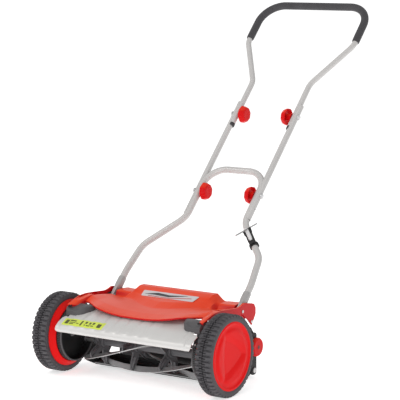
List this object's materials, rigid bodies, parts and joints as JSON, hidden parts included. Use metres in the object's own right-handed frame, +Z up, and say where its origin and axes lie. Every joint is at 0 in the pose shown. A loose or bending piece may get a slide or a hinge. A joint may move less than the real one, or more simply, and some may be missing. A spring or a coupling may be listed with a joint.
{
  "type": "reel mower",
  "caption": "Push reel mower with two driven wheels, helical blade reel, bed knife, moulded cover, rear roller and arched tube handle with foam grip.",
  "frame": {"origin": "on the ground, midway between the wheels and straight below their axis", "axes": "+X to the right-hand wheel, +Y to the rear, where the handle leans, +Z up"},
  "size_m": [0.559, 1.011, 0.9571],
  "materials": {
    "tyre_rubber": "matt moulded rubber",
    "red_moulding": "glossy injection moulding",
    "black_moulding": "fine spark texture",
    "grey_moulding": "fine spark texture",
    "gear_nylon": "moulded nylon",
    "bright_steel": "zinc plated",
    "reel_grey": "satin paint",
    "blade_steel": "satin grey paint, ground edges",
    "silver_sheet": "silver powder coat",
    "tube_grey": "light grey powder coat",
    "grip_foam": "closed-cell foam",
    "label_white": "printed film",
    "pale_strap": "natural nylon"
  },
  "bodies": {
    "chassis": {"side_plate_left": "black_moulding", "side_plate_right": "black_moulding", "reel_bearing_left": "gear_nylon", "reel_bearing_right": "gear_nylon", "axle_left": "bright_steel", "axle_right": "bright_steel", "retaining_ring_left": "bright_steel", "retaining_ring_right": "bright_steel", "bed_knife": "blade_steel", "knife_carrier": "black_moulding", "knife_bolts": "bright_steel", "tie_rod": "bright_steel", "tie_rod_nuts": "bright_steel", "deflector": "silver_sheet", "deflector_screws": "bright_steel", "end_clamp_left": "grey_moulding", "end_clamp_right": "grey_moulding", "top_cover": "red_moulding", "cover_screws": "bright_steel", "label_plate": "label_white", "handle_pins": "bright_steel", "adjuster_bolts": "bright_steel"},
    "reel": {"reel_shaft": "bright_steel", "reel_spiders": "reel_grey", "reel_blades": "blade_steel", "drive_pawls": "bright_steel"},
    "roller_carriage": {"roller_arm_left": "black_moulding", "roller_arm_right": "black_moulding", "roller_axle": "bright_steel"},
    "roller": {"rear_roller": "black_moulding"},
    "handle": {"lower_handle": "tube_grey", "middle_tube_left": "tube_grey", "middle_tube_right": "tube_grey", "upper_handle": "tube_grey", "foam_grip": "grip_foam", "end_plugs": "grey_moulding", "clamp_bolts": "bright_steel", "catcher_clip": "black_moulding", "catcher_strap": "pale_strap", "catcher_rod": "bright_steel"},
    "wheel_left": {"tyre_left": "tyre_rubber", "rim_left": "red_moulding", "wheel_cap_left": "red_moulding", "wheel_bush_left": "gear_nylon", "ring_gear_left": "gear_nylon"},
    "pinion_left_body": {"pinion_left": "gear_nylon"},
    "adjuster_left": {"adjuster_knob_left": "red_moulding"},
    "lower_knob_left_body": {"lower_knob_left": "red_moulding"},
    "upper_knob_left_body": {"upper_knob_left": "red_moulding"},
    "wheel_right": {"tyre_right": "tyre_rubber", "rim_right": "red_moulding", "wheel_cap_right": "red_moulding", "wheel_bush_right": "gear_nylon", "ring_gear_right": "gear_nylon"},
    "pinion_right_body": {"pinion_right": "gear_nylon"},
    "adjuster_right": {"adjuster_knob_right": "red_moulding"},
    "lower_knob_right_body": {"lower_knob_right": "red_moulding"},
    "upper_knob_right_body": {"upper_knob_right": "red_moulding"}
  },
  "joints": [
    {"name": "wheel_left_spin", "type": "hinge", "parent": "chassis", "child": "wheel_left", "pos_m": [-0.256, 0, 0.105], "axis": [1, 0, 0], "continuous": true},
    {"name": "pinion_left_spin", "type": "hinge", "parent": "chassis", "child": "pinion_left_body", "pos_m": [-0.243, 0.057, 0.08061], "axis": [1, 0, 0], "continuous": true},
    {"name": "wheel_right_spin", "type": "hinge", "parent": "chassis", "child": "wheel_right", "pos_m": [0.256, 0, 0.105], "axis": [1, 0, 0], "continuous": true},
    {"name": "pinion_right_spin", "type": "hinge", "parent": "chassis", "child": "pinion_right_body", "pos_m": [0.243, 0.057, 0.08061], "axis": [1, 0, 0], "continuous": true},
    {"name": "reel_spin", "type": "hinge", "parent": "chassis", "child": "reel", "pos_m": [0, 0.057, 0.08061], "axis": [1, 0, 0], "continuous": true},
    {"name": "handle_swing", "type": "hinge", "parent": "chassis", "child": "handle", "pos_m": [0, 0.15, 0.18], "axis": [1, 0, 0], "range_deg": [0, 60]},
    {"name": "roller_height", "type": "slide", "parent": "chassis", "child": "roller_carriage", "axis": [0, 0, 1], "range_m": [-0.02, 0]},
    {"name": "roller_spin", "type": "hinge", "parent": "roller_carriage", "child": "roller", "pos_m": [0, 0.208, 0.02], "axis": [1, 0, 0], "continuous": true},
    {"name": "adjuster_left_turn", "type": "hinge", "parent": "chassis", "child": "adjuster_left", "pos_m": [-0.22, 0.208, 0.083], "axis": [1, 0, 0], "continuous": true},
    {"name": "lower_knob_left_turn", "type": "hinge", "parent": "handle", "child": "lower_knob_left_body", "pos_m": [-0.076, 0.41039, 0.44777], "axis": [1, 0, 0], "continuous": true},
    {"name": "upper_knob_left_turn", "type": "hinge", "parent": "handle", "child": "upper_knob_left_body", "pos_m": [-0.076, 0.60385, 0.64671], "axis": [1, 0, 0], "continuous": true},
    {"name": "adjuster_right_turn", "type": "hinge", "parent": "chassis", "child": "adjuster_right", "pos_m": [0.22, 0.208, 0.083], "axis": [1, 0, 0], "continuous": true},
    {"name": "lower_knob_right_turn", "type": "hinge", "parent": "handle", "child": "lower_knob_right_body", "pos_m": [0.076, 0.41039, 0.44777], "axis": [1, 0, 0], "continuous": true},
    {"name": "upper_knob_right_turn", "type": "hinge", "parent": "handle", "child": "upper_knob_right_body", "pos_m": [0.076, 0.60385, 0.64671], "axis": [1, 0, 0], "continuous": true}
  ],
  "couplings": [
    {"joint": "pinion_left_spin", "follows": "wheel_left_spin", "ratio": 6.6364},
    {"joint": "pinion_right_spin", "follows": "wheel_right_spin", "ratio": 6.6364},
    {"joint": "reel_spin", "follows": "wheel_right_spin", "ratio": 6.6364}
  ]
}
